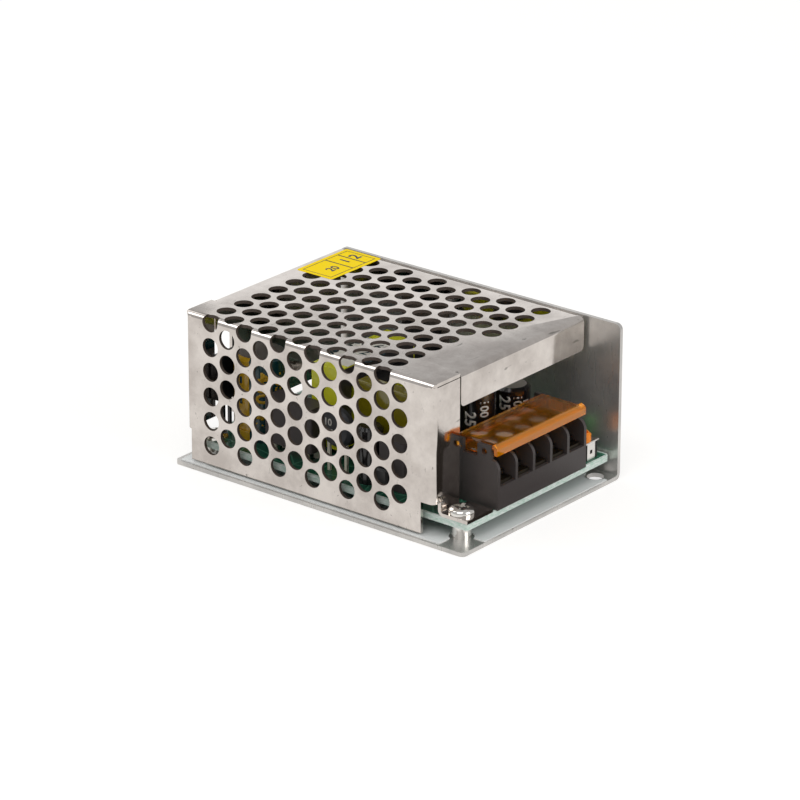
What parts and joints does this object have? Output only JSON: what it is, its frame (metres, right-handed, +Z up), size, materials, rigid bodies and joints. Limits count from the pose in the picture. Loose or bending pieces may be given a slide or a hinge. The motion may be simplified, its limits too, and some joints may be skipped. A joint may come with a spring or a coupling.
{
  "type": "enclosed power supply",
  "caption": "Enclosed switching power supply: folded steel base, perforated cover, board, screw terminal block under a flip-up amber lid.",
  "frame": {"origin": "centre of the underside of the base plate", "axes": "+X towards the terminal end, +Y towards the plain wall, +Z up"},
  "size_m": [0.085, 0.058, 0.0381],
  "materials": {
    "case_steel": "satin galvanised",
    "cover_steel": "satin galvanised",
    "clear_film": "clear glossy",
    "board_laminate": "solder mask",
    "plated_steel": "bright plated",
    "black_block": "fine matte",
    "tinned_brass": "tinned",
    "amber_plastic": "clear glossy",
    "ferrite": "fine matte",
    "yellow_tape": "glossy",
    "black_moulding": "semi-gloss",
    "white_label": "paper",
    "teal_sleeve": "glossy",
    "black_sleeve": "glossy",
    "dark_resin": "matte",
    "cream_sleeve": "matte",
    "olive_case": "glossy",
    "grey_pad": "matte",
    "green_lens": "clear glossy",
    "orange_plastic": "semi-gloss",
    "yellow_label": "printed"
  },
  "bodies": {
    "case": {"chassis": "case_steel", "perforated_cover": "cover_steel", "insulating_film": "clear_film", "circuit_board": "board_laminate", "board_standoffs": "plated_steel", "board_screws": "plated_steel", "terminal_block": "black_block", "terminal_contacts": "tinned_brass", "transformer_core": "ferrite", "transformer_tape": "yellow_tape", "transformer_bobbin": "black_moulding", "transformer_winding": "yellow_tape", "transformer_label": "white_label", "bulk_capacitor": "teal_sleeve", "output_capacitor_1": "black_sleeve", "output_capacitor_2": "black_sleeve", "bridge_rectifier": "black_moulding", "line_choke": "dark_resin", "choke_pins": "cream_sleeve", "disc_thermistor": "dark_resin", "thermistor_leads": "cream_sleeve", "film_capacitor": "olive_case", "drum_choke": "black_sleeve", "filter_block": "dark_resin", "input_fuse": "black_moulding", "insulating_pad": "grey_pad", "switching_transistor": "black_moulding", "optocoupler": "black_moulding", "indicator_led": "green_lens", "trimmer_body": "black_moulding", "trimmer_bracket": "plated_steel", "date_label": "yellow_label"},
    "lid": {"terminal_lid": "amber_plastic"},
    "trimmer_knob": {"trimmer_rotor": "orange_plastic"},
    "clamp_1": {"clamp_plate_1": "plated_steel"},
    "screw_1": {"terminal_screw_1": "plated_steel"},
    "clamp_2": {"clamp_plate_2": "plated_steel"},
    "screw_2": {"terminal_screw_2": "plated_steel"},
    "clamp_3": {"clamp_plate_3": "plated_steel"},
    "screw_3": {"terminal_screw_3": "plated_steel"},
    "clamp_4": {"clamp_plate_4": "plated_steel"},
    "screw_4": {"terminal_screw_4": "plated_steel"},
    "clamp_5": {"clamp_plate_5": "plated_steel"},
    "screw_5": {"terminal_screw_5": "plated_steel"}
  },
  "joints": [
    {"name": "lid_hinge", "type": "hinge", "parent": "case", "child": "lid", "pos_m": [0.0299, 0.0017, 0.0189], "axis": [0, -1, 0], "range_deg": [0, 90]},
    {"name": "trimmer_turn", "type": "hinge", "parent": "case", "child": "trimmer_knob", "pos_m": [0.0374, 0.0214, 0.012], "axis": [0, 0, 1], "range_deg": [-130, 130]},
    {"name": "clamp_1_lift", "type": "slide", "parent": "case", "child": "clamp_1", "axis": [0, 0, 1], "range_m": [0, 0.0015]},
    {"name": "screw_1_turn", "type": "hinge", "parent": "clamp_1", "child": "screw_1", "pos_m": [0.0348, -0.011, 0.0134], "axis": [0, 0, 1], "range_deg": [0, 1079.9]},
    {"name": "clamp_2_lift", "type": "slide", "parent": "case", "child": "clamp_2", "axis": [0, 0, 1], "range_m": [0, 0.0015]},
    {"name": "screw_2_turn", "type": "hinge", "parent": "clamp_2", "child": "screw_2", "pos_m": [0.0348, -0.00465, 0.0134], "axis": [0, 0, 1], "range_deg": [0, 1079.9]},
    {"name": "clamp_3_lift", "type": "slide", "parent": "case", "child": "clamp_3", "axis": [0, 0, 1], "range_m": [0, 0.0015]},
    {"name": "screw_3_turn", "type": "hinge", "parent": "clamp_3", "child": "screw_3", "pos_m": [0.0348, 0.0017, 0.0134], "axis": [0, 0, 1], "range_deg": [0, 1079.9]},
    {"name": "clamp_4_lift", "type": "slide", "parent": "case", "child": "clamp_4", "axis": [0, 0, 1], "range_m": [0, 0.0015]},
    {"name": "screw_4_turn", "type": "hinge", "parent": "clamp_4", "child": "screw_4", "pos_m": [0.0348, 0.00805, 0.0134], "axis": [0, 0, 1], "range_deg": [0, 1079.9]},
    {"name": "clamp_5_lift", "type": "slide", "parent": "case", "child": "clamp_5", "axis": [0, 0, 1], "range_m": [0, 0.0015]},
    {"name": "screw_5_turn", "type": "hinge", "parent": "clamp_5", "child": "screw_5", "pos_m": [0.0348, 0.0144, 0.0134], "axis": [0, 0, 1], "range_deg": [0, 1079.9]}
  ]
}
